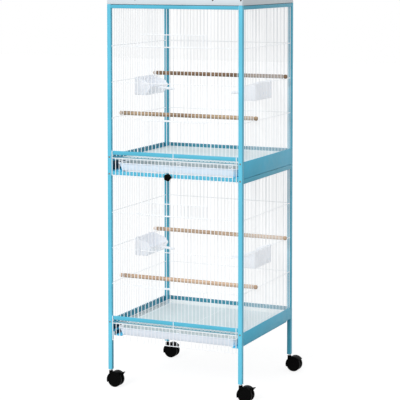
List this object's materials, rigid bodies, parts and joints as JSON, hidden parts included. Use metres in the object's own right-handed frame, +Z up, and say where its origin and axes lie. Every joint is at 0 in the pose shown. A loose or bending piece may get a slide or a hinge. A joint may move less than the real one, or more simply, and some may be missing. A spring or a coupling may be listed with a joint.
{
  "type": "bird breeding cage",
  "caption": "Tall stacked wire cage in a square tube frame with swing doors, pull-out trays under wire floor grates, perches and feeder cups, on swivel casters.",
  "frame": {"origin": "on the floor under the middle of the outline", "axes": "+X to the right seen from the front, +Y to the rear, +Z up; the doors face -Y"},
  "size_m": [0.4874, 0.4312, 1.182],
  "materials": {
    "frame_paint": "satin",
    "pan_paint": "satin",
    "wire_coating": "satin",
    "perch_wood": "matt",
    "cup_plastic": "gloss",
    "black_plastic": "satin",
    "wheel_plastic": "satin"
  },
  "bodies": {
    "frame": {"post_front_left": "frame_paint", "post_front_right": "frame_paint", "post_rear_left": "frame_paint", "post_rear_right": "frame_paint", "top_rail_front": "frame_paint", "top_rail_rear": "frame_paint", "top_rail_left": "frame_paint", "top_rail_right": "frame_paint", "middle_rail_front": "frame_paint", "middle_rail_rear": "frame_paint", "middle_rail_left": "frame_paint", "middle_rail_right": "frame_paint", "upper_base_rail_front": "frame_paint", "upper_base_rail_rear": "frame_paint", "upper_side_skirt_left": "frame_paint", "upper_side_skirt_right": "frame_paint", "lower_base_rail_front": "frame_paint", "lower_base_rail_rear": "frame_paint", "lower_side_skirt_left": "frame_paint", "lower_side_skirt_right": "frame_paint", "roof_pan": "pan_paint", "upper_panel_front": "wire_coating", "upper_panel_rear": "wire_coating", "upper_panel_left": "wire_coating", "upper_panel_right": "wire_coating", "lower_panel_front": "wire_coating", "lower_panel_rear": "wire_coating", "lower_panel_left": "wire_coating", "lower_panel_right": "wire_coating", "upper_perch_front": "perch_wood", "upper_perch_rear": "perch_wood", "lower_perch_front": "perch_wood", "lower_perch_rear": "perch_wood"},
    "upper_door": {"upper_door": "wire_coating"},
    "lower_door": {"lower_door": "wire_coating"},
    "upper_tray": {"upper_tray": "pan_paint", "upper_floor_grate": "wire_coating"},
    "lower_tray": {"lower_tray": "pan_paint", "lower_floor_grate": "wire_coating"},
    "guard_knob": {"guard_knob": "black_plastic"},
    "upper_cup_left": {"upper_cup_left": "cup_plastic"},
    "upper_cup_right": {"upper_cup_right": "cup_plastic"},
    "lower_cup_left": {"lower_cup_left": "cup_plastic"},
    "lower_cup_right": {"lower_cup_right": "cup_plastic"},
    "caster_hood_front_left": {"caster_hood_front_left": "black_plastic"},
    "caster_wheels_front_left": {"caster_wheels_front_left": "wheel_plastic"},
    "caster_hood_front_right": {"caster_hood_front_right": "black_plastic"},
    "caster_wheels_front_right": {"caster_wheels_front_right": "wheel_plastic"},
    "caster_hood_rear_left": {"caster_hood_rear_left": "black_plastic"},
    "caster_wheels_rear_left": {"caster_wheels_rear_left": "wheel_plastic"},
    "caster_hood_rear_right": {"caster_hood_rear_right": "black_plastic"},
    "caster_wheels_rear_right": {"caster_wheels_rear_right": "wheel_plastic"},
    "caster_brake_front_left": {"caster_brake_front_left": "black_plastic"},
    "caster_brake_front_right": {"caster_brake_front_right": "black_plastic"}
  },
  "joints": [
    {"name": "upper_door_swing", "type": "hinge", "parent": "frame", "child": "upper_door", "pos_m": [-0.13503, -0.1986, 0.9254], "axis": [0, 0, -1], "range_deg": [0, 135]},
    {"name": "lower_door_swing", "type": "hinge", "parent": "frame", "child": "lower_door", "pos_m": [-0.13503, -0.1986, 0.4234], "axis": [0, 0, -1], "range_deg": [0, 135]},
    {"name": "upper_tray_slide", "type": "slide", "parent": "frame", "child": "upper_tray", "axis": [0, -1, 0], "range_m": [0, 0.3]},
    {"name": "lower_tray_slide", "type": "slide", "parent": "frame", "child": "lower_tray", "axis": [0, -1, 0], "range_m": [0, 0.3]},
    {"name": "guard_knob_turn", "type": "hinge", "parent": "upper_tray", "child": "guard_knob", "pos_m": [-0.03123, -0.2043, 0.6494], "axis": [0, 1, 0], "continuous": true},
    {"name": "upper_cup_left_lift", "type": "slide", "parent": "frame", "child": "upper_cup_left", "axis": [0, 0, 1], "range_m": [0, 0.03]},
    {"name": "upper_cup_right_lift", "type": "slide", "parent": "frame", "child": "upper_cup_right", "axis": [0, 0, 1], "range_m": [0, 0.03]},
    {"name": "lower_cup_left_lift", "type": "slide", "parent": "frame", "child": "lower_cup_left", "axis": [0, 0, 1], "range_m": [0, 0.03]},
    {"name": "lower_cup_right_lift", "type": "slide", "parent": "frame", "child": "lower_cup_right", "axis": [0, 0, 1], "range_m": [0, 0.03]},
    {"name": "caster_swivel_front_left", "type": "hinge", "parent": "frame", "child": "caster_hood_front_left", "pos_m": [-0.22943, -0.1948, 0.0472], "axis": [0, 0, 1], "continuous": true},
    {"name": "caster_roll_front_left", "type": "hinge", "parent": "caster_hood_front_left", "child": "caster_wheels_front_left", "pos_m": [-0.21213, -0.1948, 0.022], "axis": [0, 1, 0], "continuous": true},
    {"name": "caster_swivel_front_right", "type": "hinge", "parent": "frame", "child": "caster_hood_front_right", "pos_m": [0.19797, -0.1948, 0.0472], "axis": [0, 0, 1], "continuous": true},
    {"name": "caster_roll_front_right", "type": "hinge", "parent": "caster_hood_front_right", "child": "caster_wheels_front_right", "pos_m": [0.21527, -0.1948, 0.022], "axis": [0, 1, 0], "continuous": true},
    {"name": "caster_swivel_rear_left", "type": "hinge", "parent": "frame", "child": "caster_hood_rear_left", "pos_m": [-0.22943, 0.2006, 0.0472], "axis": [0, 0, 1], "continuous": true},
    {"name": "caster_roll_rear_left", "type": "hinge", "parent": "caster_hood_rear_left", "child": "caster_wheels_rear_left", "pos_m": [-0.21213, 0.2006, 0.022], "axis": [0, 1, 0], "continuous": true},
    {"name": "caster_swivel_rear_right", "type": "hinge", "parent": "frame", "child": "caster_hood_rear_right", "pos_m": [0.19797, 0.2006, 0.0472], "axis": [0, 0, 1], "continuous": true},
    {"name": "caster_roll_rear_right", "type": "hinge", "parent": "caster_hood_rear_right", "child": "caster_wheels_rear_right", "pos_m": [0.21527, 0.2006, 0.022], "axis": [0, 1, 0], "continuous": true},
    {"name": "caster_brake_front_left", "type": "hinge", "parent": "caster_hood_front_left", "child": "caster_brake_front_left", "pos_m": [-0.19662, -0.1948, 0.04186], "axis": [0, 1, 0], "range_deg": [0, 15]},
    {"name": "caster_brake_front_right", "type": "hinge", "parent": "caster_hood_front_right", "child": "caster_brake_front_right", "pos_m": [0.23078, -0.1948, 0.04186], "axis": [0, 1, 0], "range_deg": [0, 15]}
  ]
}
